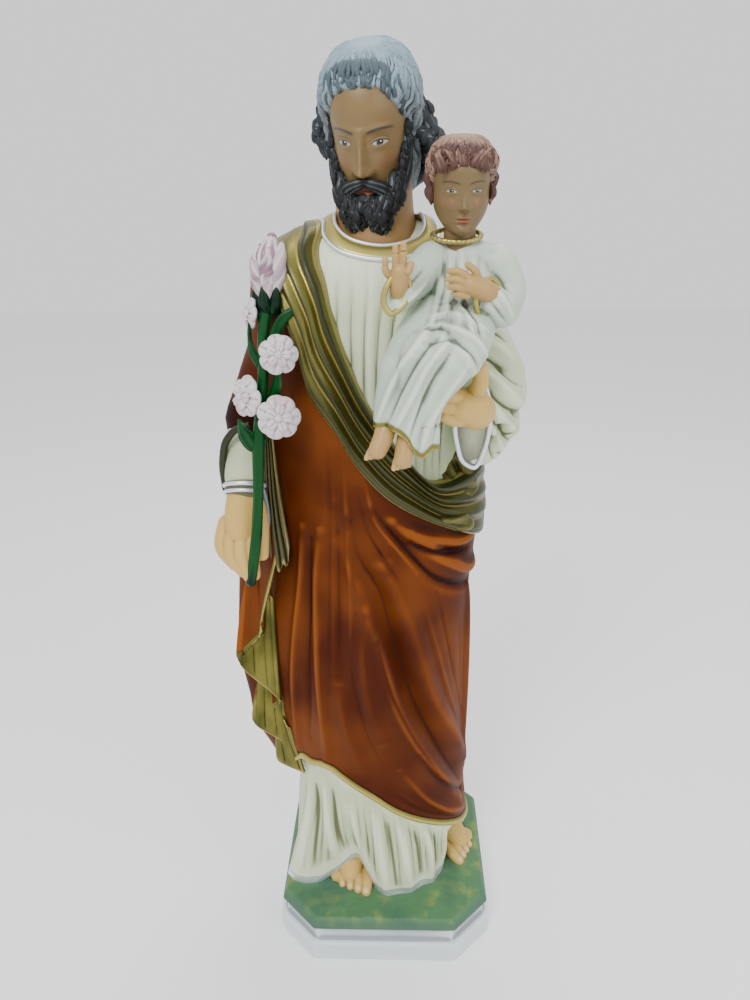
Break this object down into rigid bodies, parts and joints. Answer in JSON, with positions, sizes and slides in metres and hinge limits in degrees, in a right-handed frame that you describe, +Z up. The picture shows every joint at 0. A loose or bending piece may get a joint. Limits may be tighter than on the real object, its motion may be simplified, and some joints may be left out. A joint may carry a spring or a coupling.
{
  "type": "devotional statue",
  "caption": "Painted plaster statue of a robed, bearded saint carrying a child on one arm and holding a lily branch, on a stepped base.",
  "frame": {"origin": "centre of the base's underside, where the statue stands", "axes": "+Z up along the figure, -Y to the front where the figure faces, +X to the figure's left"},
  "size_m": [0.2685, 0.2352, 0.8001],
  "materials": {
    "painted_plaster": "oil paint over cast plaster: rust cloak, cream tunic, bronze-gold lining, green ground, white base",
    "painted_lily": "glossy green stem and leaves, pale pink and white flowers"
  },
  "bodies": {
    "root": {"saint_joseph_and_child": "painted_plaster", "lily_branch": "painted_lily"}
  },
  "joints": []
}
